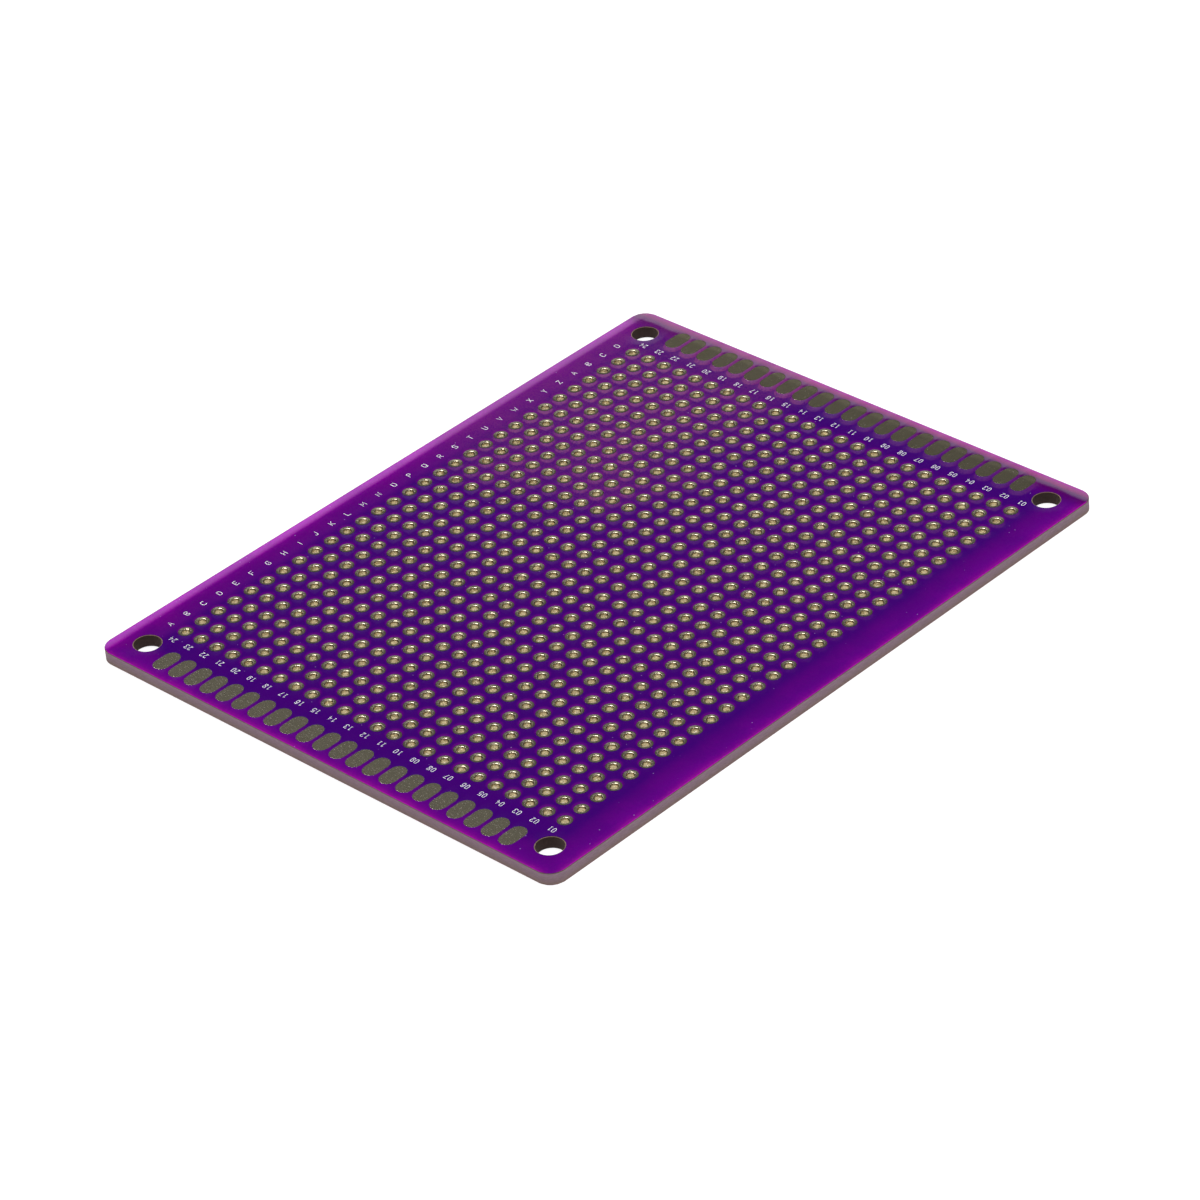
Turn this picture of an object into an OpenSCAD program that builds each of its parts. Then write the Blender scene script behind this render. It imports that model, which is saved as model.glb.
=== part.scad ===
// Prototype board: a drilled glass-epoxy laminate with a grid of plated-through
// lead holes, a row of edge contacts at each short end and a solder mask on
// both faces. It lies flat, with +X along its short side, +Y along its long
// side, and the origin in the middle of the plane that its lower pads rest on.

/* [Hole grid] */
// Distance between neighbouring lead holes, along and across the board
pitch = 2.54; // [2:0.01:5.08]
// Number of lead holes in a row, across the board
columns = 24; // [4:1:30]
// Number of rows, along the board
rows = 30; // [4:1:50]

/* [Laminate] */
// Finished thickness of the board, measured over the pads of both faces
board_t = 1.6; // [0.8:0.1:3.2]
// From the centres of the outer columns of holes to the long edges
side_margin = 5.79; // [4.5:0.01:10]
// From the centres of the outer rows of holes to the short edges
end_margin = 8.17; // [7:0.01:20]
// Radius of the four corners in plan
corner_r = 2; // [0.5:0.1:3]

/* [Mounting holes] */
// Bore of the four corner holes, a free fit on a 3 mm screw
mount_hole_d = 3.2; // [2.2:0.1:3.4]
// From a corner hole's centre to each of the two edges beside it
mount_inset = 4; // [2.5:0.1:4.2]
// Bare ring that the mask leaves around a corner hole
mount_relief = 0.15; // [0.05:0.01:0.3]

/* [Lead hole eyelets] */
// Finished bore of a lead hole, inside its plating
lead_hole_d = 1; // [0.6:0.05:1.2]
// Wall of the plated barrel that lines a lead hole
plating_t = 0.04; // [0.02:0.01:0.08]
// Diameter of the round pad at each end of the barrel
pad_d = 1.7; // [1.5:0.05:1.8]
// Height that pads and edge contacts stand above the laminate
pad_h = 0.08; // [0.06:0.01:0.15]
// Radius of the rounded mouth where a barrel turns out into its pad
mouth_r = 0.06; // [0.02:0.01:0.06]

/* [Edge contacts] */
// Width of an edge contact, across the board
contact_w = 2; // [1:0.05:1.85]
// Length of an edge contact with its round ends, along the board
contact_l = 3.6; // [2.5:0.1:4.2]
// From an edge contact's outer tip to the short edge of the board
contact_inset = 1.1; // [0.5:0.1:1.4]
// Outer columns at each side that have no edge contact, for the corner holes
contact_skip = 1; // [1:1:2]

/* [Solder mask] */
// Thickness of the mask on each face
mask_t = 0.035; // [0.02:0.005:0.05]
// Clearance between the mask and each pad or edge contact
mask_gap = 0.05; // [0.02:0.01:0.1]
// Distance that the mask stops short of the outer edge of the laminate
mask_setback = 0.1; // [0.05:0.05:0.4]

/* [Hidden] */
$fn = 48;
grid_w = (columns - 1) * pitch;
grid_l = (rows - 1) * pitch;
board_w = grid_w + 2 * side_margin;
board_l = grid_l + 2 * end_margin;
laminate_t = board_t - 2 * pad_h;
hole_r = lead_hole_d / 2;
drill_r = hole_r + plating_t;
pad_r = pad_d / 2;
mount_x = board_w / 2 - mount_inset;
mount_y = board_l / 2 - mount_inset;
contact_y = board_l / 2 - contact_inset - contact_l / 2;
top_z = board_t - pad_h;

laminate_c = "#857370";
mask_c = "#43007f";
tin_c = "#8b8874";

function column_x(c) = (c - (columns - 1) / 2) * pitch;
function row_y(r) = (r - (rows - 1) / 2) * pitch;
function two_digits(n) = str(n < 10 ? "0" : "", n);

ROW_NODES = [for (r = [1 : rows]) str("plated_row_", two_digits(r))];

// Plan shapes

// A rectangle on the origin with its four corners rounded
module rounded_plan(w, l, r) {
    square([w - 2 * r, l], center = true);
    square([w, l - 2 * r], center = true);
    for (x = [-1, 1])
        for (y = [-1, 1])
            translate([x * (w / 2 - r), y * (l / 2 - r)])
                circle(r);
}

// A bar along Y with full round ends
module obround_plan(w, l) {
    square([w, l - w], center = true);
    for (y = [-1, 1])
        translate([0, y * (l - w) / 2])
            circle(w / 2);
}

module at_mounts() {
    for (x = [-1, 1])
        for (y = [-1, 1])
            translate([x * mount_x, y * mount_y])
                children();
}

module at_leads() {
    for (r = [0 : rows - 1])
        for (c = [0 : columns - 1])
            translate([column_x(c), row_y(r)])
                children();
}

// The places of one end's contacts, where end is -1 for near and 1 for far
module at_contacts(end) {
    for (c = [contact_skip : columns - 1 - contact_skip])
        translate([column_x(c), end * contact_y])
            children();
}

// Laminate: routed to its outline and drilled for the corner holes and barrels
module laminate() {
    color(laminate_c)
        translate([0, 0, pad_h])
            linear_extrude(laminate_t)
                difference() {
                    rounded_plan(board_w, board_l, corner_r);
                    at_leads() circle(drill_r);
                    at_mounts() circle(d = mount_hole_d);
                }
}

// Solder mask: one printed film, open over every pad, contact and corner hole
module mask_film() {
    color(mask_c)
        linear_extrude(mask_t)
            difference() {
                rounded_plan(
                    board_w - 2 * mask_setback,
                    board_l - 2 * mask_setback,
                    corner_r - mask_setback
                );
                at_leads() circle(pad_r + mask_gap);
                at_mounts() circle(mount_hole_d / 2 + mount_relief);
                for (end = [-1, 1])
                    at_contacts(end)
                        obround_plan(contact_w + 2 * mask_gap, contact_l + 2 * mask_gap);
            }
}

module solder_mask_top() {
    translate([0, 0, top_z]) mask_film();
}

module solder_mask_bottom() {
    translate([0, 0, pad_h - mask_t]) mask_film();
}

// Eyelet: the tinned barrel through the laminate and its pad on each face,
// as one revolved section with a rounded mouth at both ends
module mouth_cut() {
    difference() {
        translate([hole_r - mouth_r, -mouth_r]) square(2 * mouth_r);
        translate([hole_r + mouth_r, mouth_r]) circle(mouth_r);
    }
}

module eyelet_section() {
    difference() {
        union() {
            translate([hole_r, 0]) square([plating_t, board_t]);
            for (z = [0, top_z])
                translate([hole_r, z]) square([pad_r - hole_r, pad_h]);
        }
        mouth_cut();
        translate([0, board_t]) mirror([0, 1]) mouth_cut();
    }
}

module plated_row(r) {
    color(tin_c)
        for (c = [0 : columns - 1])
            translate([column_x(c), row_y(r), 0])
                rotate_extrude()
                    eyelet_section();
}

// Edge contacts: flat tinned pads in line with the columns, on both faces
module contacts(end, z) {
    color(tin_c)
        translate([0, 0, z])
            linear_extrude(pad_h)
                at_contacts(end)
                    obround_plan(contact_w, contact_l);
}

laminate();
solder_mask_top();
solder_mask_bottom();
contacts(-1, top_z);  // near_contacts_top
contacts(-1, 0);  // near_contacts_bottom
contacts(1, top_z);  // far_contacts_top
contacts(1, 0);  // far_contacts_bottom
for (r = [0 : rows - 1])
    plated_row(r);
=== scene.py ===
import bpy
import numpy as np
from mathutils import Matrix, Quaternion, Vector


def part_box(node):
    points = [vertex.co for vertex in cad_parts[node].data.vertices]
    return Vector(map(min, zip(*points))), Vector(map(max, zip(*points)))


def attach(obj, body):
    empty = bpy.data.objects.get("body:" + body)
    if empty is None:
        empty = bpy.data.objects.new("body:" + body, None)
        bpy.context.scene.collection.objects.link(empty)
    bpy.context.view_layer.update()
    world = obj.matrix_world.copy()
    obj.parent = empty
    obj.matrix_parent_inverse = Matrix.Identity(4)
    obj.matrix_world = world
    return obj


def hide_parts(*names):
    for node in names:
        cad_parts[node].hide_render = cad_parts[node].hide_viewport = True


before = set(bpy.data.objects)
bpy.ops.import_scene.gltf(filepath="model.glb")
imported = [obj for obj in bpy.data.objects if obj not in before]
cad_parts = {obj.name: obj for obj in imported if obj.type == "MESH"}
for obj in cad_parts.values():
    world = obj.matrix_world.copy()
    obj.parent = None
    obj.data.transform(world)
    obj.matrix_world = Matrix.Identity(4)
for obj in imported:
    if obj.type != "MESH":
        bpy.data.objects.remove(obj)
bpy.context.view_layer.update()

# Laminate: glass cloth pressed in epoxy, routed to its outline and drilled.
# Only its sawn edges, the drilled walls and a thin bare ring round each corner hole show, so its layers
# are drawn by height. The dark olive band at the top of the edge, and the bare strip along the edge of
# each face, are partly bare laminate and partly painted shadow under the mask's edge; the drilled walls
# are painted dark as shade.
MM = 0.001
FACE_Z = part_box("laminate")[1].z / MM
PAD_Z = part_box("plated_row_01")[1].z / MM
HALF_W, HALF_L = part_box("laminate")[1].x / MM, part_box("laminate")[1].y / MM
MOUNT_INSET, CONTACT_INSET = 4.0, 2.9
MOUNT_X, MOUNT_Y = HALF_W - MOUNT_INSET, HALF_L - MOUNT_INSET
PITCH, COLUMNS, ROWS = 2.54, 24, 30
CONTACT_Y, CONTACT_REACH = HALF_L - CONTACT_INSET, 0.8
BARE_ROUND_MOUNT, BARE_AT_EDGE = 2.4, 0.6


def paint(red, green, blue):
    """A colour as given, 0 to 255, made linear: ((c + 0.055) / 1.055) to
    the power 2.4, or c / 12.92 below 0.04."""
    seen = np.array([red, green, blue]) / 255.0
    low, high = seen / 12.92, ((seen + 0.055) / 1.055) ** 2.4
    return (*np.where(seen <= 0.04045, low, high), 1.0)


def put(tree, kind, inputs=(), **settings):
    """Adds one shader node; an input takes either a value or the socket that feeds it."""
    made = tree.nodes.new("ShaderNode" + kind)
    for key, value in settings.items():
        setattr(made, key, value)
    for key, value in dict(inputs).items():
        if isinstance(value, bpy.types.NodeSocket):
            tree.links.new(value, made.inputs[key])
        else:
            made.inputs[key].default_value = value
    return made


def sums(tree, operation, first, second=0.0, third=0.0):
    """One step of arithmetic on shader values."""
    step = put(tree, "Math", {0: first, 1: second, 2: third}, operation=operation)
    return step.outputs[0]


def between(tree, value, low, high):
    """Rises smoothly from 0 at low to 1 at high, or falls where low is the greater."""
    span = {"Value": value, "From Min": low, "From Max": high}
    return put(tree, "MapRange", span, interpolation_type="SMOOTHSTEP").outputs["Result"]


def graded(tree, value, stops):
    """A colour that runs through (place, colour) stops as value goes from 0 to 1."""
    made = put(tree, "ValToRGB", {0: value})
    ends = made.color_ramp.elements
    for place, colour in stops[2:]:
        ends.new(place)
    for end, (place, colour) in zip(ends, sorted(stops)):
        end.position, end.color = place, colour
    return made.outputs[0]


def mixed(tree, share, first, second, way="MIX"):
    """Lays the second colour over the first, by share."""
    made = put(tree, "Mix", {0: share, 6: first, 7: second}, data_type="RGBA", blend_type=way)
    return made.outputs[2]


def finish_of(name):
    """A new material with its surface shader and the place on the board, in mm."""
    made = bpy.data.materials.new(name)
    made.use_nodes = True
    tree = made.node_tree
    surface = tree.nodes["Principled BSDF"]
    place = put(tree, "TexCoord").outputs["Object"]
    place = put(tree, "VectorMath", {0: place, "Scale": 1000.0}, operation="SCALE").outputs[0]
    return made, tree, surface, place


def feed(tree, surface, **sockets):
    """Joins values or sockets to the surface shader's inputs, with _ for a space."""
    for key, value in sockets.items():
        target = surface.inputs[key.replace("_", " ")]
        if isinstance(value, bpy.types.NodeSocket):
            tree.links.new(value, target)
        else:
            target.default_value = value


def effect(name, takes, gives):
    """A named effect for several finishes: a shader group with its inputs and outputs."""
    tree = bpy.data.node_groups.new(name, "ShaderNodeTree")
    for label, kind, value in takes:
        entry = tree.interface.new_socket(label, in_out="INPUT", socket_type="NodeSocket" + kind)
        if value is not None:
            entry.default_value = value
    for label, kind in gives:
        tree.interface.new_socket(label, in_out="OUTPUT", socket_type="NodeSocket" + kind)
    start = tree.nodes.new("NodeGroupInput")
    end = tree.nodes.new("NodeGroupOutput")
    return tree, start.outputs, end.inputs


# Grain is a cloudy value at one scale with a finer one on top of it
grain, taken, given = effect(
    "grain",
    [
        ("Place", "Vector", None),
        ("Coarse", "Float", 1.0),
        ("Fine", "Float", 10.0),
        ("Share", "Float", 0.5),
    ],
    [("Value", "Float")],
)
coarse = put(grain, "TexNoise", {"Vector": taken["Place"], "Scale": taken["Coarse"], "Detail": 3.0})
fine = put(grain, "TexNoise", {"Vector": taken["Place"], "Scale": taken["Fine"], "Detail": 2.0})
blend = {0: taken["Share"], 2: coarse.outputs["Fac"], 3: fine.outputs["Fac"]}
grain.links.new(put(grain, "Mix", blend, data_type="FLOAT").outputs[0], given["Value"])


def grained(tree, place, coarse_scale, fine_scale, share):
    """The grain effect, placed in one finish."""
    inputs = {"Place": place, "Coarse": coarse_scale, "Fine": fine_scale, "Share": share}
    return put(tree, "Group", inputs, node_tree=grain).outputs["Value"]


# How far a place lies from the axis of the nearest lead hole, from the middle
# line of the nearest edge contact, and from the axis of the nearest corner hole
nearest, taken, given = effect(
    "nearest_opening",
    [("Place", "Vector", None)],
    [("Lead", "Float"), ("Bar", "Float"), ("Mount", "Float")],
)
x, y, _ = put(nearest, "SeparateXYZ", {0: taken["Place"]}).outputs
reach_x, reach_y = sums(nearest, "ABSOLUTE", x), sums(nearest, "ABSOLUTE", y)


def off_line(reach, last):
    """How far a reach from the board's middle lies from the nearest line of holes,
    of which the last stands at last + 1/2 pitches."""
    cell = sums(nearest, "MINIMUM", sums(nearest, "SNAP", reach, PITCH), last * PITCH)
    return sums(nearest, "SUBTRACT", reach, sums(nearest, "ADD", cell, PITCH / 2))


past_tip = sums(nearest, "ABSOLUTE", sums(nearest, "SUBTRACT", reach_y, CONTACT_Y))
past_tip = sums(nearest, "SUBTRACT", past_tip, CONTACT_REACH)
for opening, off_x, off_y in (
    ("Lead", off_line(reach_x, COLUMNS // 2 - 1), off_line(reach_y, ROWS // 2 - 1)),
    ("Bar", off_line(reach_x, COLUMNS // 2 - 2), sums(nearest, "MAXIMUM", past_tip, 0.0)),
    ("Mount", sums(nearest, "SUBTRACT", reach_x, MOUNT_X), sums(nearest, "SUBTRACT", reach_y, MOUNT_Y)),
):
    flat = put(nearest, "CombineXYZ", {0: off_x, 1: off_y}).outputs[0]
    away = put(nearest, "VectorMath", {0: flat}, operation="LENGTH")
    nearest.links.new(away.outputs["Value"], given[opening])


def away_from(tree, opening, place, shift=(0.0, 0.0, 0.0)):
    """How far a place, moved by the shift, lies from the nearest opening of one kind."""
    moved = put(tree, "VectorMath", {0: place, 1: shift}, operation="ADD").outputs[0]
    return put(tree, "Group", {"Place": moved}, node_tree=nearest).outputs[opening]


glass_epoxy, tree, surface, place = finish_of("sawn_glass_epoxy")
x, y, z = put(tree, "SeparateXYZ", {0: place}).outputs
reach_x, reach_y = sums(tree, "ABSOLUTE", x), sums(tree, "ABSOLUTE", y)
layers = put(tree, "Mapping", {"Vector": place, "Scale": (0.9, 0.9, 7.0)}).outputs[0]
yarn = grained(tree, layers, 1.6, 5.0, 0.4)
# Painted shadow: the top stop of this ramp is a dark olive band, partly bare laminate and partly shadow
# under the mask's edge.
edge = graded(
    tree,
    sums(tree, "DIVIDE", z, PAD_Z),
    [
        (0.05, paint(124, 96, 76)),
        (0.13, paint(134, 112, 106)),
        (0.35, paint(136, 112, 120)),
        (0.65, paint(142, 117, 131)),
        (0.89, paint(148, 124, 138)),
        (0.93, paint(96, 84, 62)),
    ],
)
edge = mixed(tree, between(tree, yarn, 0.35, 0.7), mixed(tree, 0.35, edge, paint(84, 68, 70)), edge)
at_mount = sums(tree, "LESS_THAN", away_from(tree, "Mount", place), BARE_ROUND_MOUNT)
# Painted shade: the drilled walls of the corner holes are drawn dark brown, as shade inside the hole.
drilled = mixed(tree, yarn, paint(38, 24, 22), paint(66, 48, 42))
facing = put(tree, "SeparateXYZ", {0: put(tree, "NewGeometry").outputs["Normal"]}).outputs["Z"]
level = sums(tree, "GREATER_THAN", sums(tree, "ABSOLUTE", facing), 0.5)
outer = sums(
    tree,
    "MAXIMUM",
    sums(tree, "SUBTRACT", reach_x, HALF_W),
    sums(tree, "SUBTRACT", reach_y, HALF_L),
)
at_edge = sums(tree, "GREATER_THAN", outer, -BARE_AT_EDGE)
ring = mixed(tree, yarn, paint(104, 84, 70), paint(150, 124, 104))
bare = mixed(tree, at_mount, paint(52, 8, 84), ring)
# Painted shadow: the bare strip along the edge is drawn dark olive, partly bare laminate and partly
# shadow under the mask's edge.
bare = mixed(tree, at_edge, bare, paint(92, 78, 56))
colour = mixed(tree, level, mixed(tree, at_mount, edge, drilled), bare)
bump = put(tree, "Bump", {"Height": yarn, "Strength": 0.5, "Distance": 0.00004}).outputs[0]
feed(tree, surface, Base_Color=colour, Roughness=0.72, Normal=bump, Specular_IOR_Level=0.3)
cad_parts["laminate"].data.materials.clear()
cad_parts["laminate"].data.materials.append(glass_epoxy)

# Eyelets: each lead hole is plated through with copper and then levelled with
# hot solder, so barrel and pads are one thin spool whose pads lean a little,
# no two quite alike.
COLUMN_X = (np.arange(COLUMNS) - (COLUMNS - 1) / 2) * PITCH
ROW_Y = (np.arange(ROWS) - (ROWS - 1) / 2) * PITCH
SIDES = 12
TURN = np.radians(15 + 360 / SIDES * np.arange(SIDES))
TOP_SPOOL = np.array([(0.505, 1.49), (0.595, PAD_Z), (0.872, PAD_Z), (0.877, 1.52), (0.54, 1.52)])
PAD_FROM, MOST_LEAN, MOST_SHRINK = 0.8, 0.015, 0.012
LOWER_SPOOL = TOP_SPOOL[::-1] * (1, -1) + (0, PAD_Z)
SPOOL = np.concatenate([TOP_SPOOL, LOWER_SPOOL, TOP_SPOOL[:1]])
SETTLED = np.array([0, 1, 1, 0, 0, 0, 0, -1, -1, 0, 0])
MOST_FACES = 8
MARKS_PER_MM = 1e4
chance = np.random.default_rng(72)


def faces_of(grid, around=True):
    """Cuts a grid of points (..., ring, step, 3) into faces (n, 4, 3), each with
    corners ring, ring + 1, and the same a step on; the steps close up where the
    shape goes around."""
    if around:
        grid = np.concatenate([grid, grid[..., :1, :]], axis=-2)
    ring, on = grid[..., :-1, :, :], grid[..., 1:, :, :]
    corners = [ring[..., :-1, :], on[..., :-1, :], on[..., 1:, :], ring[..., 1:, :]]
    return np.stack(corners, axis=-2).reshape(-1, 4, 3)


def broad_normals(corners, index, sharp):
    """For each face corner, the mean direction of the faces that share its point
    and lie within the sharp angle of its own face, each weighted by the cube of
    its area, so that broad faces stay flat and narrow ones carry the bend."""
    quads = corners[index.reshape(-1, 4)]
    cross = np.cross(quads[:, 2] - quads[:, 0], quads[:, 3] - quads[:, 1])
    area = np.linalg.norm(cross, axis=1)
    facing = cross / area[:, None]
    order = np.argsort(index.ravel(), kind="stable")
    face, point = order // 4, index.ravel()[order]
    total = np.zeros((len(order), 3))
    for shift in range(1 - MOST_FACES, MOST_FACES):
        other = np.roll(face, shift)
        alike = (facing[other] * facing[face]).sum(axis=1) > np.cos(np.radians(sharp))
        alike &= np.roll(point, shift) == point
        total[order] += (area[other] ** 3 * alike)[:, None] * facing[other]
    return total / np.linalg.norm(total, axis=1, keepdims=True)


def piece_of(name, faces, finish, sharp=75, levelled=True):
    """Makes a piece of faces given in mm: corners that agree to 0.1 micron become
    one point, and edges turned past the sharp angle stay crisp."""
    corners = faces.reshape(-1, 3)
    marks = np.round(corners * MARKS_PER_MM).astype(np.int64)
    _, first, index = np.unique(marks, axis=0, return_index=True, return_inverse=True)
    mesh = bpy.data.meshes.new(name)
    mesh.from_pydata(corners[first] * MM, [], index.reshape(-1, 4))
    mesh.shade_smooth()
    if levelled:
        mesh.normals_split_custom_set(broad_normals(corners[first], index, sharp))
    else:
        mesh.set_sharp_from_angle(angle=np.radians(sharp))
    mesh.materials.append(finish)
    made = bpy.data.objects.new(name, mesh)
    bpy.context.scene.collection.objects.link(made)
    return made


def spools(y):
    """One row of eyelets, each a profile turned round its hole and closed along
    the barrel: radius times (cos, sin) of the turn, and each ring's height less
    its lean towards one side."""
    radius = SPOOL[:, 0][:, None]
    lean = chance.uniform(0.0, MOST_LEAN, (COLUMNS, 1, 1))
    low_side = chance.uniform(0.0, 2 * np.pi, (COLUMNS, 1, 1))
    width = 1 - MOST_SHRINK * chance.random((COLUMNS, 1, 1)) * (radius > PAD_FROM)
    sink = lean * (0.5 + 0.5 * np.cos(TURN - low_side)) * SETTLED[:, None]
    across = COLUMN_X[:, None, None] + radius * width * np.cos(TURN)
    along = y + radius * width * np.sin(TURN)
    height = SPOOL[:, 1][:, None] - sink
    return faces_of(np.stack(np.broadcast_arrays(across, along, height), axis=-1))


# Dust is a sprinkle of small soft specks
dust, taken, given = effect(
    "dust",
    [("Place", "Vector", None), ("Scale", "Float", 3.0), ("Amount", "Float", 0.1)],
    [("Mask", "Float")],
)
speck = put(dust, "TexVoronoi", {"Vector": taken["Place"], "Scale": taken["Scale"], "Randomness": 1.0})
held = put(dust, "SeparateColor", {0: speck.outputs["Color"]}).outputs[0]
size = sums(dust, "MULTIPLY", held, taken["Amount"])
mask = sums(dust, "SUBTRACT", 1.0, between(dust, speck.outputs["Distance"], 0.0, size))
dust.links.new(mask, given["Mask"])


def sprinkled(tree, place, scale, amount):
    """The dust effect, placed in one finish."""
    inputs = {"Place": place, "Scale": scale, "Amount": amount}
    return put(tree, "Group", inputs, node_tree=dust).outputs["Mask"]


CONTACTS_FROM = 38.0
tin, tree, surface, place = finish_of("levelled_tin")
tone = grained(tree, place, 0.7, 9.0, 0.2)
streaks = {"Vector": place, "Scale": (1.5, 9.0, 1.5), "Rotation": (0.0, 0.0, 0.5)}
streaks = put(tree, "Mapping", streaks).outputs[0]
scratch = grained(tree, streaks, 2.0, 8.0, 0.6)
colour = mixed(tree, between(tree, tone, 0.3, 0.7), paint(150, 144, 122), paint(174, 168, 148))
reach = put(tree, "SeparateXYZ", {0: place}).outputs["Y"]
# Painted light and shade: the contacts at the near end are drawn lighter and those at the far end
# darker.
contact_light_and_shade = graded(
    tree,
    sums(tree, "MULTIPLY_ADD", reach, 0.01, 0.5),
    [
        (0.10, paint(190, 183, 160)),
        (0.12, paint(162, 156, 135)),
        (0.88, paint(162, 156, 135)),
        (0.90, paint(148, 142, 120)),
    ],
)
on_contact = sums(tree, "GREATER_THAN", sums(tree, "ABSOLUTE", reach), CONTACTS_FROM)
colour = mixed(tree, on_contact, colour, mixed(tree, 0.75, colour, contact_light_and_shade))
colour = mixed(tree, between(tree, scratch, 0.6, 0.85), colour, paint(136, 130, 108))
axis = away_from(tree, "Lead", place)
height = put(tree, "SeparateXYZ", {0: place}).outputs["Z"]
depth = sums(tree, "ABSOLUTE", sums(tree, "SUBTRACT", height, PAD_Z / 2))
# Painted light: deep in each hole the barrel is drawn bright cream as a painted reflection of the white
# sheet below it, and darker towards its two mouths as painted shade.
barrel = mixed(tree, between(tree, depth, 0.44, 0.62), paint(236, 226, 200), paint(164, 152, 126))
# Painted highlight: the tin is drawn lighter round the mouth of each hole, to brighten the glint there.
colour = mixed(tree, between(tree, axis, 0.67, 0.6), colour, paint(192, 184, 160))
colour = mixed(tree, between(tree, axis, 0.51, 0.53), barrel, colour)
# Painted shade: a dark line round the outer edge of each pad.
rim = sums(tree, "MULTIPLY", between(tree, axis, 0.855, 0.869), sums(tree, "LESS_THAN", axis, 0.9))
colour = mixed(tree, rim, colour, paint(70, 64, 48))
dusty = sprinkled(tree, place, 3.0, 0.16)
fleck = sums(tree, "MULTIPLY", sprinkled(tree, streaks, 1.3, 0.5), between(tree, reach, -30.0, -42.0))
dusty = sums(tree, "MAXIMUM", dusty, sums(tree, "MULTIPLY", fleck, 0.35))
rough = sums(tree, "MULTIPLY_ADD", scratch, 0.12, 0.08)
worn = sums(tree, "ADD", tone, scratch)
bump = put(tree, "Bump", {"Height": worn, "Strength": 0.6, "Distance": 0.000004}).outputs[0]
wave = put(tree, "TexNoise", {"Vector": place, "Scale": 2.5, "Detail": 1.0}).outputs["Fac"]
wave = sums(tree, "MULTIPLY", wave, between(tree, axis, 0.95, 0.3))
bump = put(tree, "Bump", {"Height": wave, "Distance": 0.00008, "Normal": bump}).outputs[0]
tip = between(tree, reach, CONTACT_Y + 0.7, CONTACT_Y + 1.8)
bump = put(tree, "Bump", {"Height": tip, "Distance": 0.000016, "Normal": bump}, invert=True).outputs[0]
feed(
    tree,
    surface,
    Base_Color=mixed(tree, dusty, colour, paint(214, 208, 214)),
    Metallic=sums(tree, "MULTIPLY_ADD", dusty, -0.84, 0.84),
    Roughness=rough,
    Specular_Tint=(0.0, 0.0, 0.0, 1.0),
    Normal=bump,
)
for number, y in enumerate(ROW_Y, 1):
    row = piece_of(f"eyelets_row_{number:02d}", spools(y), tin)
    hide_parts(f"plated_row_{number:02d}")
    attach(row, "root")

# Edge contacts: bars of tinned copper with round ends, in line with the
# columns at both short ends. The solder stands in a low cushion on each.
TIP = np.radians(np.array([-77.1, -51.4, -25.7, 0, 0, 25.7, 51.4, 77.1]))
SHIFT = np.repeat([-CONTACT_REACH, CONTACT_REACH], 4)
CUSHION = [(1.0, 1.52), (1.0, 1.58), (0.985, 1.584), (0.35, 1.584)]
CUSHION_FROM, CUSHION_LEAN = 1.57, 0.003


def obround(radius):
    """A round-ended outline in sixteen points: radius times (cos, sin) of the tip
    angle, moved along by the half reach, and mirrored for the left side."""
    right = np.stack([radius * np.cos(TIP), radius * np.sin(TIP) + SHIFT], axis=-1)
    return np.concatenate([right, right[::-1] * (-1, 1)])


def raised(outline, height):
    """Gives a flat outline its height."""
    return np.concatenate([outline, np.broadcast_to(height, outline.shape[:-1])[..., None]], axis=-1)


def turned_over(faces):
    """The same faces on the underside: heights run down from the pads' plane, and
    each face's corners are turned back to face outwards."""
    return (faces * (1, 1, -1) + (0, 0, PAD_Z))[:, ::-1]


def cushion():
    """One contact on the origin: obrounds of falling radius, each at its height,
    closed by strips across the top and the foot."""
    rings = np.stack([raised(obround(radius), height) for radius, height in CUSHION])
    side = faces_of(rings[::-1])
    caps = []
    for ring, order in ((rings[-1], 1), (rings[0], -1)):
        right, left = ring[:8], ring[8:][::-1]
        caps.append(faces_of(np.stack([left, right]), False)[:, ::order])
    return np.concatenate([side, *caps])


def contact_row(end, face):
    """Every contact of one end and face: copies along X with a small tilt of the
    cushion, turned over for the underside."""
    one = cushion()
    lean = chance.uniform(-CUSHION_LEAN, 0.0, (COLUMNS - 2, 1, 1))
    rows = np.repeat(one[None], COLUMNS - 2, axis=0)
    rows[..., 2] += lean * (rows[..., 2] > CUSHION_FROM) * (1 + rows[..., 1] / 2)
    rows[..., 0] += COLUMN_X[1:-1, None, None]
    rows[..., 1] += end * CONTACT_Y
    rows = rows.reshape(-1, 4, 3)
    return rows if face > 0 else turned_over(rows)


for end, end_name in ((-1, "near"), (1, "far")):
    for face, face_name in ((1, "top"), (-1, "bottom")):
        bars = piece_of(f"edge_contacts_{end_name}_{face_name}", contact_row(end, face), tin)
        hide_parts(f"{end_name}_contacts_{face_name}")
        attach(bars, "root")

# Solder mask: a glossy film of purple lacquer on each face, open over every
# pad, contact and corner hole. It thins where it runs down to an opening and
# to the sawn edge, which is where its sheen bends.
FILM_T, FILM_IN, CORNER_R = 0.058, 0.03, 1.97
RIM_W, ROLL_W, ROLL_DROP = 0.9, 0.4, 0.012
HALF = PITCH / 2
NICK = HALF * np.tan(np.radians(15))
LEAD_OPEN, CONTACT_OPEN, MOUNT_OPEN = 0.9, 1.02, 1.7
CORE_X, CORE_Y = HALF_W - RIM_W, HALF_L - RIM_W
GRID_X, GRID_Y = COLUMN_X[-1] + HALF, ROW_Y[-1] + HALF
BLOCK_X, STRIP_X = GRID_X - PITCH, 32.3


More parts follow.
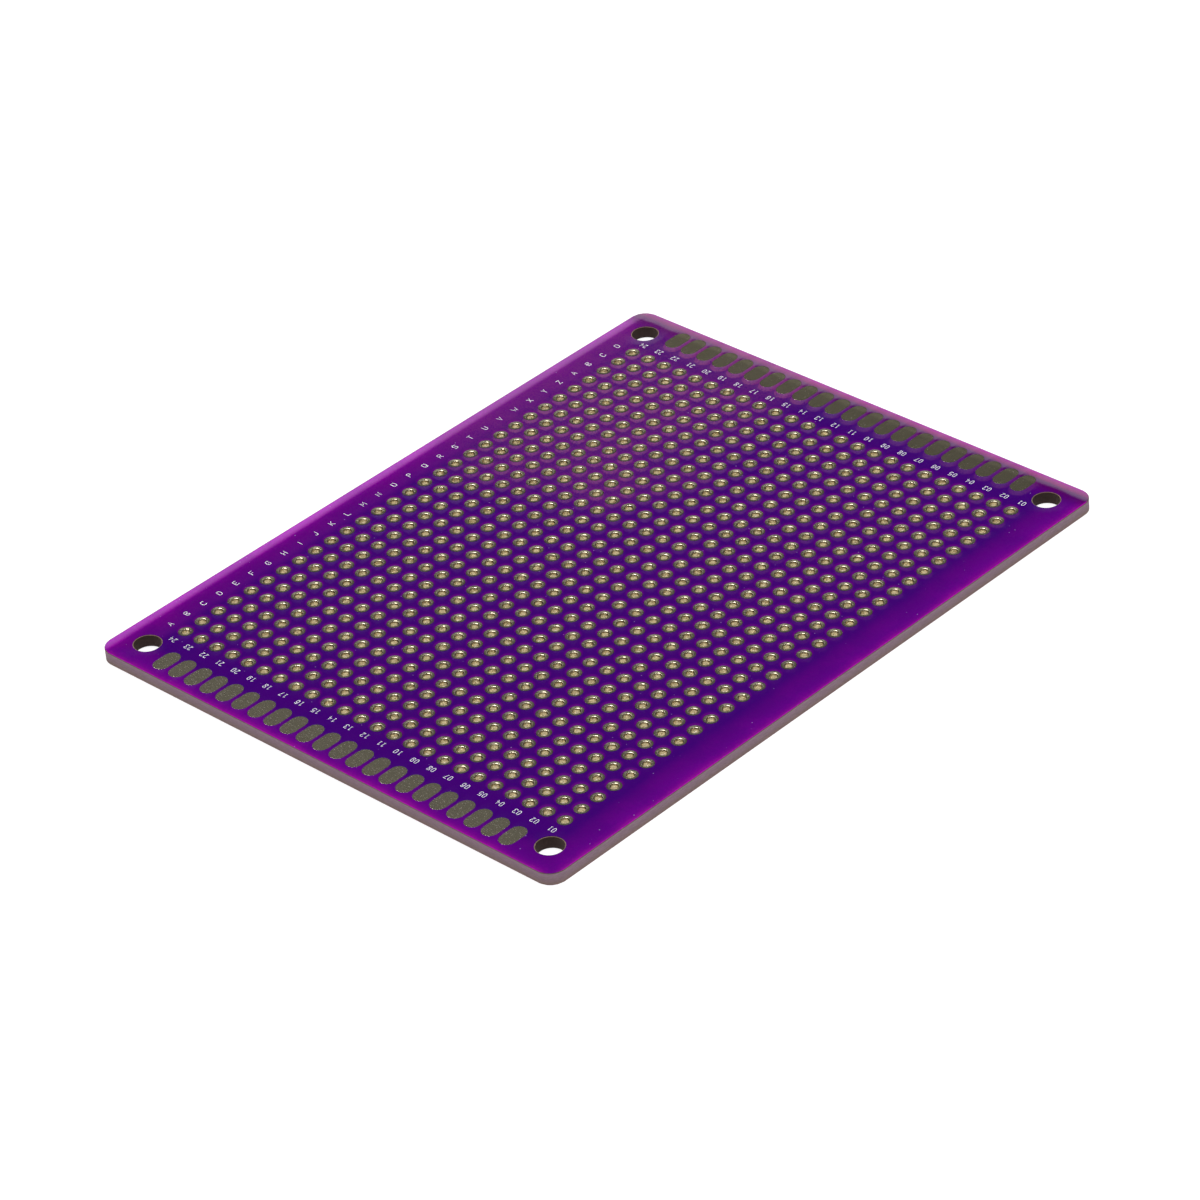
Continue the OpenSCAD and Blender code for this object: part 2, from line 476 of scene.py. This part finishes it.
def film_height(x, y):
    """The film's upper face: its full thickness, less a square-law fall over the
    last 0.4 mm to the outline."""
    inwards = np.minimum(HALF_W - FILM_IN - np.abs(x), HALF_L - FILM_IN - np.abs(y))
    return FACE_Z + FILM_T - ROLL_DROP * np.clip(1 - inwards / ROLL_W, 0, 1) ** 2


def over(outline):
    """Lays an outline on the film's upper face."""
    return raised(outline, film_height(outline[..., 0], outline[..., 1]))


def round_opening(opening, border, steps):
    """The film between an opening and the border round it: bottom face inwards, the
    wall up, then the upper face outwards along straight lines cut at steps."""
    upper = [over(opening + (border - opening) * step) for step in steps]
    return faces_of(np.stack([raised(border, FACE_Z), raised(opening, FACE_Z), *upper], axis=-3))


def mirrored(faces, across):
    """Adds the mirror image, with each face's corners turned back to face outwards."""
    return np.concatenate([faces, (faces * across)[:, ::-1]])


def film():
    """A quarter of the film in five fields (lead holes, contacts, corner hole, side
    strip and rim), mirrored in X and in Y."""
    spoke = np.stack([np.cos(TURN), np.sin(TURN)], axis=-1)
    border = spoke * HALF / np.abs(spoke).max(axis=-1, keepdims=True)
    centre = np.meshgrid(COLUMN_X[COLUMNS // 2:], ROW_Y[ROWS // 2:], indexing="ij")
    centre = np.stack(centre, axis=-1).reshape(-1, 1, 2)
    fields = [round_opening(centre + spoke * LEAD_OPEN, centre + border, (0, 1))]

    sides = np.array([-1.234, -0.8, 0.8, 1.234])
    inner_y, outer_y = GRID_Y - CONTACT_Y, CORE_Y - CONTACT_Y
    right = [(NICK, inner_y), *((HALF, side) for side in (inner_y, *sides, outer_y)), (NICK, outer_y)]
    right = np.array(right)
    border = np.concatenate([right, right[::-1] * (-1, 1)])
    centre = [COLUMN_X[COLUMNS // 2:-1], np.full(COLUMNS // 2 - 1, CONTACT_Y)]
    centre = np.stack(centre, axis=-1)[:, None]
    fields.append(round_opening(centre + obround(CONTACT_OPEN), centre + border, (0, 1)))

    foot = [BLOCK_X, BLOCK_X + HALF - NICK, BLOCK_X + HALF + NICK, GRID_X, STRIP_X]
    right_side = [GRID_Y, 39.6, 41.0, 42.4, 43.1, 43.6]
    head = [CORE_X, 33.6, 33.1, STRIP_X, 31.0, 29.5]
    left_side = [CORE_Y, *(CONTACT_Y + sides[::-1])]
    border = np.array(
        [(place, GRID_Y) for place in foot]
        + [(CORE_X, place) for place in right_side]
        + [(place, CORE_Y) for place in head]
        + [(BLOCK_X, place) for place in left_side]
    )
    away = border - (MOUNT_X, MOUNT_Y)
    bearing = np.unwrap(np.arctan2(away[:, 1], away[:, 0]))
    step = 2 * np.pi / len(border) * np.arange(len(border))
    even = np.mean(bearing - step) + step
    opening = np.stack([np.cos(even), np.sin(even)], axis=-1) * MOUNT_OPEN + (MOUNT_X, MOUNT_Y)
    fields.append(round_opening(opening, border, (0, 0.3, 1)))

    marks = (ROW_Y[ROWS // 2:, None] + np.array([-HALF, -NICK, NICK])).ravel()
    marks = np.append(marks, GRID_Y)
    strip = np.stack(np.meshgrid([GRID_X, STRIP_X, CORE_X], marks, indexing="ij"), axis=-1)
    fields.append(faces_of(over(strip), False))
    fields.append(faces_of(raised(strip, FACE_Z), False)[:, ::-1])

    tops = (COLUMN_X[COLUMNS // 2:-1, None] + np.array([-HALF, -NICK, NICK])).ravel()
    inner = np.array(
        [(CORE_X, place) for place in [*marks, *right_side[1:]]]
        + [(place, CORE_Y) for place in [*head, BLOCK_X, *tops[::-1]]]
    )
    heart = np.minimum(inner, (HALF_W - FILM_IN - CORNER_R, HALF_L - FILM_IN - CORNER_R))
    away = inner - heart
    outline = heart + away / np.linalg.norm(away, axis=-1, keepdims=True) * CORNER_R
    upper = [over(inner + (outline - inner) * step) for step in (0, 0.55, 0.8, 1)]
    rim = np.stack([*upper, raised(outline, FACE_Z), raised(inner, FACE_Z)])
    fields.append(faces_of(rim, False))
    quarter = np.concatenate(fields)
    return mirrored(mirrored(quarter, (-1, 1, 1)), (1, -1, 1))


RAMP_W = 5.0
lacquer, tree, surface, place = finish_of("purple_solder_mask")
x, y, _ = put(tree, "SeparateXYZ", {0: place}).outputs
inwards = sums(
    tree,
    "MINIMUM",
    sums(tree, "SUBTRACT", HALF_W, sums(tree, "ABSOLUTE", x)),
    sums(tree, "SUBTRACT", HALF_L, sums(tree, "ABSOLUTE", y)),
)
left_side, far_side = sums(tree, "ADD", HALF_W, x), sums(tree, "SUBTRACT", HALF_L, y)
cloud = grained(tree, place, 0.25, 2.5, 0.3)
drift = sums(tree, "MULTIPLY_ADD", cloud, 0.8, -0.4)
# Painted light: the lacquer is drawn brighter and redder towards the sawn edge, where light comes in
# through the edge of the film.
colour = graded(
    tree,
    sums(tree, "DIVIDE", sums(tree, "ADD", inwards, drift), RAMP_W),
    [
        (0.06, paint(124, 8, 134)),
        (0.12, paint(107, 0, 131)),
        (0.24, paint(94, 0, 126)),
        (0.40, paint(88, 0, 120)),
        (0.60, paint(81, 0, 114)),
        (0.85, paint(61, 0, 107)),
    ],
)
# Painted light: along the left edge the brighter band is drawn wider.
painted_edge_light = graded(
    tree,
    sums(tree, "DIVIDE", sums(tree, "MULTIPLY_ADD", drift, 0.25, left_side), RAMP_W),
    [
        (0.04, paint(172, 40, 188)),
        (0.21, paint(146, 0, 156)),
        (0.30, paint(108, 0, 128)),
        (0.45, paint(97, 0, 119)),
        (0.78, paint(86, 6, 116)),
        (1.00, paint(61, 0, 107)),
    ],
)
colour = mixed(tree, 1.0, colour, painted_edge_light, "LIGHTEN")
# Painted light: along the far edge the band is drawn pinker, a painted reflection of the sheen there,
# fading in over the last few mm.
painted_edge_light = graded(
    tree,
    sums(tree, "DIVIDE", sums(tree, "MULTIPLY_ADD", drift, 0.25, far_side), RAMP_W),
    [
        (0.04, paint(166, 44, 150)),
        (0.10, paint(146, 36, 124)),
        (0.16, paint(130, 10, 102)),
        (0.24, paint(82, 0, 86)),
        (0.50, paint(76, 0, 88)),
        (0.80, paint(61, 0, 107)),
    ],
)
colour = mixed(tree, between(tree, far_side, 3.9, 1.2), colour, painted_edge_light)
# Painted light: a bright magenta line along the very edge.
colour = mixed(tree, between(tree, inwards, 0.22, 0.08), colour, paint(160, 6, 156))
clouded = mixed(tree, 0.18, colour, paint(40, 0, 104))
colour = mixed(tree, between(tree, cloud, 0.4, 0.6), colour, clouded)
openings = put(tree, "Group", {"Place": place}, node_tree=nearest).outputs
lip = sums(
    tree,
    "MINIMUM",
    sums(tree, "SUBTRACT", openings["Lead"], LEAD_OPEN),
    sums(
        tree,
        "MINIMUM",
        sums(tree, "SUBTRACT", openings["Bar"], CONTACT_OPEN),
        sums(tree, "SUBTRACT", openings["Mount"], MOUNT_OPEN),
    ),
)
sunk = sums(tree, "MINIMUM", sums(tree, "SUBTRACT", 1.0, sums(tree, "DIVIDE", lip, 1.1)), 1.0)
sunk = sums(tree, "POWER", sums(tree, "MAXIMUM", sunk, 0.0), 1.4)

# Painted reflection: a pinker halo of sheen is drawn beside each pad, more so on the pad's far left
pad_halo_sheen = between(tree, away_from(tree, "Lead", place, (0.2, -0.2, 0.0)), 1.2, 0.8)
colour = mixed(tree, sums(tree, "MULTIPLY", pad_halo_sheen, 0.3), colour, paint(132, 10, 130))

# Painted reflection: a pinker haze of sheen over the far left corner, and a halo drawn out to the near
# right of each opening, stronger towards the far end
wander = put(tree, "TexNoise", {"Vector": place, "Scale": 0.11, "Detail": 4.0}).outputs["Fac"]
wander_x = sums(tree, "MULTIPLY_ADD", wander, 24.0, x)
wander_y = sums(tree, "MULTIPLY_ADD", wander, -24.0, y)
corner = between(tree, wander_y, -12.0, 3.0)
corner = sums(tree, "MULTIPLY", between(tree, wander_x, 11.0, -3.0), corner)
beside_lead = between(tree, away_from(tree, "Lead", place, (-0.45, 0.45, 0.0)), 1.05, 0.75)
beside_bar = between(tree, away_from(tree, "Bar", place, (-0.5, 0.6, 0.0)), 1.3, 1.05)
below = sums(tree, "MAXIMUM", beside_lead, beside_bar)
spread = sums(tree, "MULTIPLY", between(tree, y, -20.0, 36.0), 0.3)
spread = sums(tree, "MULTIPLY_ADD", corner, 0.55, spread)
painted_sheen = sums(tree, "MULTIPLY_ADD", below, spread, sums(tree, "MULTIPLY", corner, 0.42))
painted_sheen = sums(tree, "MULTIPLY", painted_sheen, between(tree, grained(tree, place, 0.6, 8.0, 0.8), 0.3, 0.6))
colour = mixed(tree, painted_sheen, colour, paint(118, 44, 112))
dusty = sprinkled(tree, place, 0.9, 0.1)
ripple = grained(tree, place, 1.1, 7.0, 0.7)
bump = put(tree, "Bump", {"Height": ripple, "Strength": 0.8, "Distance": 0.000008}).outputs[0]
for side, width, drop in ((left_side, 1.45, 0.000062), (far_side, 1.9, 0.00014)):
    roll = between(tree, side, 0.0, width)
    bump = put(tree, "Bump", {"Height": roll, "Distance": drop, "Normal": bump}).outputs[0]
bump = put(tree, "Bump", {"Height": sunk, "Distance": 0.000024, "Normal": bump}, invert=True).outputs[0]
colour = mixed(tree, sums(tree, "MULTIPLY", dusty, 0.7), colour, paint(178, 140, 200))
rough = sums(tree, "MULTIPLY_ADD", ripple, 0.08, 0.05)
rough = sums(tree, "MULTIPLY_ADD", dusty, 0.4, rough)
feed(tree, surface, Base_Color=colour, Roughness=rough, Normal=bump)
upper_film = film()
for face_name, faces in (("top", upper_film), ("bottom", turned_over(upper_film))):
    coat = piece_of(f"mask_film_{face_name}", faces, lacquer, sharp=40, levelled=False)
    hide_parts(f"solder_mask_{face_name}")
    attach(coat, "root")

# Legend: white ink screened on the mask, a letter for each row along one long
# margin and a number for each column at both ends. Underneath, each label names
# the same hole.
INK_Z = FACE_Z + FILM_T + 0.004
LETTER_X, NUMBER_Y = -31.75, 38.8
ADVANCE, MITRE_LIMIT = 0.84, 1.2

# Strokes run through points on a grid 4 wide and 6 high; those with ~ are rounded
STROKES = {
    "A": "00-26-40 12-32", "B": "00-06 ~06-46-44-03-42-40-00", "C": "~45-46-06-00-40-41",
    "D": "00-06 ~06-46-40-00", "E": "46-06-00-40 03-33", "F": "46-06-00 03-33",
    "G": "~45-46-06-00-40-43 43-23", "H": "00-06 40-46 03-43", "I": "20-26", "J": "~36-30-00-01",
    "K": "00-06 46-02 13-40", "L": "06-00-40", "M": "00-06-22-46-40", "N": "00-06-40-46",
    "O": "~26-06-00-40-46-26", "P": "00-06 ~06-46-43-03", "Q": "~26-06-00-40-46-26 22-40",
    "R": "00-06 ~06-46-43-03 23-40", "S": "~45-46-06-03-43-40-00-01", "T": "20-26 06-46",
    "U": "~06-00-40-46", "V": "06-20-46", "W": "06-10-24-30-46", "X": "00-46 06-40",
    "Y": "06-23-46 23-20", "Z": "06-46-00-40", "0": "~26-06-00-40-46-26", "1": "05-26-20 10-30",
    "2": "~05-06-46-43-00 00-40", "3": "~05-06-46-44-23-42-40-00-01", "4": "30-36-02-42",
    "5": "46-06-03 ~03-24-44-40-00-01", "6": "~45-46-06-00-40-44-04", "7": "06-46-10",
    "8": "~26-06-04-42-40-20-00-02-44-46-26", "9": "~01-00-40-46-06-02-42",
}


def rounded(points):
    """Cuts each corner twice: every stretch between two points keeps its middle
    half, and the ends stay."""
    for _ in range(2):
        before, after = points[:-1], points[1:]
        cut = np.stack([0.75 * before + 0.25 * after, 0.25 * before + 0.75 * after], axis=1)
        points = np.concatenate([points[:1], cut.reshape(-1, 2)[1:-1], points[-1:]])
    return points


def ribbon(points, width):
    """A stroke of ink: each point moved half the width to either side, along the
    mean of its two stretches' normals drawn out by one over the cosine of half
    their turn."""
    along = np.diff(points, axis=0)
    along /= np.linalg.norm(along, axis=1, keepdims=True)
    first, last = points[:1] - along[:1] * width / 2, points[-1:] + along[-1:] * width / 2
    points = np.concatenate([first, points[1:-1], last])
    normal = along[:, ::-1] * (-1, 1)
    before, after = np.concatenate([normal[:1], normal]), np.concatenate([normal, normal[-1:]])
    mean = before + after
    mean *= 2 / np.maximum((mean**2).sum(axis=1, keepdims=True), MITRE_LIMIT)
    return np.stack([points + mean * width / 2, points - mean * width / 2])


def label(words, place, turned, height, narrow, width, side):
    """Ink faces for a few characters centred on a place: stroke points scaled to
    the letter's height and narrowed, mirrored on the underside, and turned."""
    faces = []
    turn = np.array([(np.cos(turned), np.sin(turned)), (-np.sin(turned), np.cos(turned))])
    for number, sign in enumerate(words):
        stretch = narrow * {"M": 1.2, "W": 1.45, "O": 1.1, "Q": 1.1}.get(sign, 1.0)
        for stroke in STROKES[sign].split():
            corners = stroke.strip("~").split("-")
            points = np.array([(int(across) - 2, int(up) - 3) for across, up in corners], float)
            points = rounded(points) if stroke[0] == "~" else points
            points *= (height / 6 * stretch, height / 6)
            points[:, 0] += (number - (len(words) - 1) / 2) * height * ADVANCE
            points[:, 0] *= side
            flat = ribbon(points @ turn + place, width)
            faces.append(faces_of(raised(flat, INK_Z), False))
    return faces


ink, tree, surface, place = finish_of("white_legend_ink")
patch = grained(tree, place, 3.0, 14.0, 0.5)
colour = mixed(tree, between(tree, patch, 0.3, 0.6), paint(246, 244, 250), paint(255, 255, 255))
bump = put(tree, "Bump", {"Height": patch, "Strength": 0.4, "Distance": 0.00001}).outputs[0]
rough = sums(tree, "MULTIPLY_ADD", patch, 0.2, 0.4)
feed(tree, surface, Base_Color=colour, Roughness=rough, Normal=bump)
LETTERS = "ABCDEFGHIJKLMNOPQRSTUVWXYZABCD"
for face, face_name in ((1, "top"), (-1, "bottom")):
    letters, numbers = [], []
    for sign, y in zip(LETTERS, ROW_Y):
        letters += label(sign, (LETTER_X, y), np.pi / 2, 0.74, 0.9, 0.068, face)
    for number, x in enumerate(COLUMN_X[::-1], 1):
        for end in (-1, 1):
            numbers += label(f"{number:02d}", (x, end * NUMBER_Y), np.pi, 0.68, 0.72, 0.06, face)
    for group_name, faces in (("row_letters", letters), ("column_numbers", numbers)):
        faces = np.concatenate(faces)
        faces = faces if face > 0 else turned_over(faces)
        printed = piece_of(f"{group_name}_{face_name}", faces, ink, levelled=False)
        body = printed.modifiers.new("ink_thickness", "SOLIDIFY")
        body.thickness = 0.01 * MM
        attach(printed, "root")

# Table and light: the board lies on a white sheet under a broad lamp in a pale
# room. What it mirrors is a darker room, black at the height that the mask
# shows the camera, with a softbox that glints in the eyelets' mouths.
sheet = bpy.data.meshes.new("table")
sheet.from_pydata([(-3, -3, -2e-5), (3, -3, -2e-5), (3, 3, -2e-5), (-3, 3, -2e-5)], [], [(0, 1, 2, 3)])
table = bpy.data.objects.new("table", sheet)
bpy.context.scene.collection.objects.link(table)
paper = bpy.data.materials.new("white_sheet")
paper.use_nodes = True
tree = paper.node_tree
tree.nodes.remove(tree.nodes["Principled BSDF"])
rays = put(tree, "LightPath").outputs
seen = sums(tree, "MAXIMUM", rays["Is Glossy Ray"], rays["Is Transmission Ray"])
lit = put(tree, "BsdfDiffuse", {"Color": (0.8, 0.8, 0.8, 1.0)}).outputs[0]
dim = put(tree, "BsdfDiffuse", {"Color": (0.35, 0.35, 0.35, 1.0)}).outputs[0]
glow = put(tree, "Emission", {"Color": (1.0, 1.0, 1.0, 1.0), "Strength": 0.82}).outputs[0]
white = put(tree, "Emission", {"Color": (1.0, 1.0, 1.0, 1.0), "Strength": 1.0}).outputs[0]
direct = put(tree, "AddShader", {0: dim, 1: glow}).outputs[0]
shown = put(tree, "MixShader", {0: rays["Is Camera Ray"], 1: lit, 2: direct}).outputs[0]
shown = put(tree, "MixShader", {0: seen, 1: shown, 2: white}).outputs[0]
tree.links.new(shown, tree.nodes["Material Output"].inputs["Surface"])
sheet.materials.append(paper)

world = bpy.data.worlds.new("pale_room")
bpy.context.scene.world = world
world.use_nodes = True
tree = world.node_tree
rays = put(tree, "LightPath").outputs
heading = put(tree, "TexCoord").outputs["Generated"]
up = put(tree, "SeparateXYZ", {0: heading}).outputs["Z"]
room = graded(
    tree,
    up,
    [
        (0.42, (1.0, 1.0, 1.0, 1.0)),
        (0.465, (0.5, 0.5, 0.5, 1.0)),
        (0.50, (0.012, 0.012, 0.012, 1.0)),
        (0.61, (0.012, 0.012, 0.012, 1.0)),
        (0.67, (0.1, 0.1, 0.1, 1.0)),
        (0.74, (0.35, 0.35, 0.35, 1.0)),
        (0.88, (0.95, 0.95, 0.95, 1.0)),
    ],
)
AHEAD = (-0.718, 0.696, 0.0)
ahead = put(tree, "VectorMath", {0: heading, 1: AHEAD}, operation="DOT_PRODUCT").outputs["Value"]
shaded = mixed(tree, 1.0, room, (0.15, 0.15, 0.15, 1.0), "MULTIPLY")
room = mixed(tree, between(tree, ahead, 0.35, 0.75), shaded, room)

# The softbox is a disc and a strip beside it, cut short near the zenith and low
# down, because the flat faces mirror it there when seen from above or behind
DISC_MIDDLE = (-0.5, -0.45, 0.74)
STRIP_MIDDLE, STRIP_RUN = (-0.18, -0.374, 0.91), (0.944, 0.193, 0.267)
disc = put(tree, "VectorMath", {0: heading, 1: DISC_MIDDLE}, operation="DOT_PRODUCT").outputs["Value"]
strip = put(tree, "VectorMath", {0: heading, 1: STRIP_MIDDLE}, operation="SUBTRACT").outputs[0]
along = put(tree, "VectorMath", {0: strip, 1: STRIP_RUN}, operation="DOT_PRODUCT").outputs["Value"]
across = put(tree, "VectorMath", {0: STRIP_RUN, "Scale": along}, operation="SCALE").outputs[0]
across = put(tree, "VectorMath", {0: strip, 1: across}, operation="DISTANCE").outputs["Value"]
strip = sums(
    tree,
    "MULTIPLY",
    between(tree, across, 0.32, 0.16),
    between(tree, sums(tree, "ABSOLUTE", along), 0.7, 0.5),
)
softbox = sums(tree, "MAXIMUM", between(tree, disc, 0.86, 0.95), sums(tree, "MULTIPLY", strip, 0.7))
softbox = sums(tree, "MULTIPLY", softbox, between(tree, up, 0.62, 0.7))
softbox = sums(tree, "MULTIPLY", softbox, between(tree, up, 0.965, 0.94))
room = mixed(tree, softbox, room, (12.5, 12.5, 12.5, 1.0))
plain = put(tree, "Background", {"Color": (1.0, 1.0, 1.0, 1.0), "Strength": 0.72}).outputs[0]
white = put(tree, "Background", {"Color": (1.0, 1.0, 1.0, 1.0), "Strength": 1.0}).outputs[0]
mirror = put(tree, "Background", {"Color": room, "Strength": 1.0}).outputs[0]
shown = put(tree, "MixShader", {0: rays["Is Glossy Ray"], 1: plain, 2: mirror}).outputs[0]
seen = sums(tree, "MAXIMUM", rays["Is Camera Ray"], rays["Is Transmission Ray"])
shown = put(tree, "MixShader", {0: seen, 1: shown, 2: white}).outputs[0]
tree.links.new(shown, tree.nodes["World Output"].inputs["Surface"])

lamp = bpy.data.lights.new("broad_lamp", "AREA")
lamp.shape, lamp.size, lamp.size_y, lamp.energy = "RECTANGLE", 0.9, 0.7, 5.0
hung = bpy.data.objects.new("broad_lamp", lamp)
hung.location = (0.15, 0.15, 0.9)
hung.rotation_mode = "QUATERNION"
hung.rotation_quaternion = (Vector((0, 0, 0)) - hung.location).to_track_quat("-Z", "Y")
hung.visible_glossy = False
bpy.context.scene.collection.objects.link(hung)

# Camera: it looks down on the near right corner with a long lens, a little
# turned about its own axis.
eye, aim = Vector((0.344383, -0.333611, 0.318625)), Vector((0.003955, -0.004398, 0.0016))
view = bpy.data.cameras.new("camera")
view.lens, view.sensor_width = 153.47, 36.0
view.clip_start, view.clip_end = 0.02, 20.0
camera = bpy.data.objects.new("camera", view)
camera.location = eye
camera.rotation_mode = "QUATERNION"
roll = Quaternion((0, 0, 1), np.radians(-5.22))
camera.rotation_quaternion = (aim - eye).to_track_quat("-Z", "Y") @ roll
bpy.context.scene.collection.objects.link(camera)
bpy.context.scene.camera = camera
bpy.context.scene.view_settings.view_transform = "Standard"
